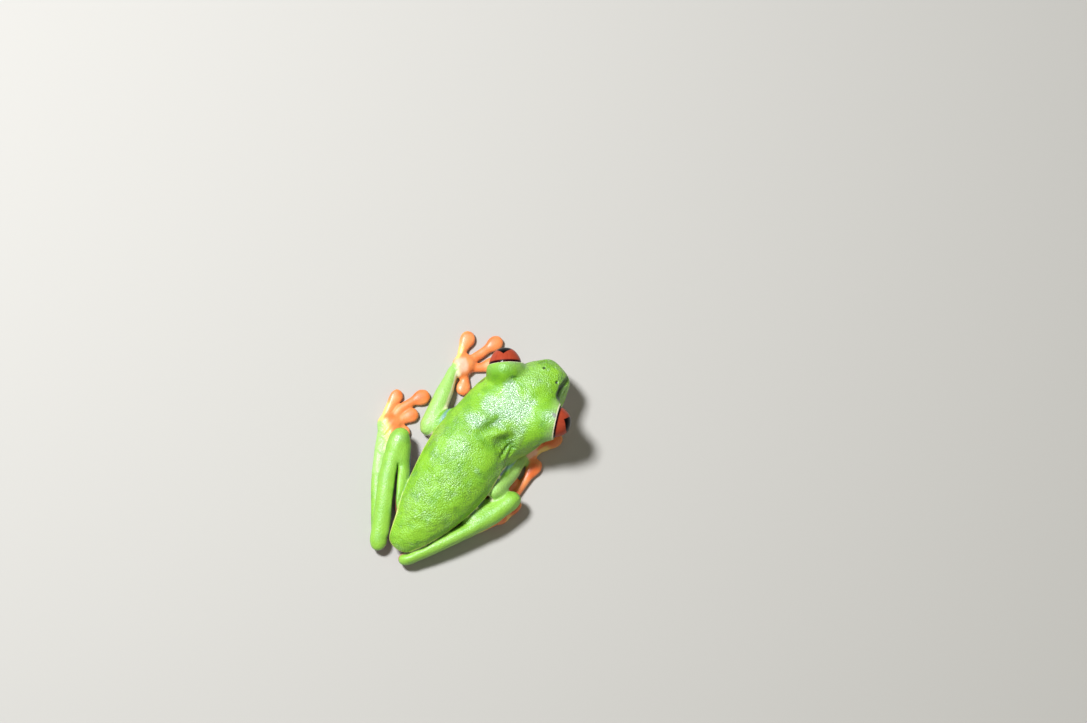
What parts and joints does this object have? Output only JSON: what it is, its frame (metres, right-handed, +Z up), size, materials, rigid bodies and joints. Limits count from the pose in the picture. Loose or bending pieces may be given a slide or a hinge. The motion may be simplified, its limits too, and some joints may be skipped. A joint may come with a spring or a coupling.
{
  "type": "red-eyed tree frog model",
  "caption": "Still, life-size red-eyed tree frog at rest, belly down with legs folded beside the body, long padded fingers and toes spread on the floor, and the head turned slightly.",
  "frame": {"origin": "middle of the bounding box's base, on the floor under the belly", "axes": "+Z up, -Y the way the frog faces, +X the frog's left"},
  "size_m": [0.0358, 0.053, 0.0149],
  "materials": {
    "skin_green": "moist, finely granular skin",
    "skin_blue": "moist smooth skin",
    "skin_cream": "moist smooth skin",
    "skin_orange": "moist smooth skin",
    "eye": "wet and glossy"
  },
  "bodies": {
    "root": {"trunk": "skin_green", "head": "skin_green", "lower_jaw": "skin_cream", "throat": "skin_cream", "eyelid_left": "skin_green", "eyelid_right": "skin_green", "eye_left": "eye", "eye_right": "eye", "eardrum_left": "skin_green", "eardrum_right": "skin_green", "thigh_left": "skin_blue", "thigh_right": "skin_blue", "shank_left": "skin_green", "shank_right": "skin_green", "tarsus_left": "skin_cream", "tarsus_right": "skin_cream", "foot_left": "skin_orange", "foot_right": "skin_orange", "toe_1_left": "skin_orange", "toe_2_left": "skin_orange", "toe_3_left": "skin_orange", "toe_4_left": "skin_orange", "toe_5_left": "skin_orange", "toe_1_right": "skin_orange", "toe_2_right": "skin_orange", "toe_3_right": "skin_orange", "toe_4_right": "skin_orange", "toe_5_right": "skin_orange", "upper_arm_left": "skin_blue", "upper_arm_right": "skin_blue", "forearm_left": "skin_green", "forearm_right": "skin_green", "hand_left": "skin_orange", "hand_right": "skin_orange", "finger_1_left": "skin_orange", "finger_2_left": "skin_orange", "finger_3_left": "skin_orange", "finger_4_left": "skin_orange", "finger_1_right": "skin_orange", "finger_2_right": "skin_orange", "finger_3_right": "skin_orange", "finger_4_right": "skin_orange"}
  },
  "joints": []
}
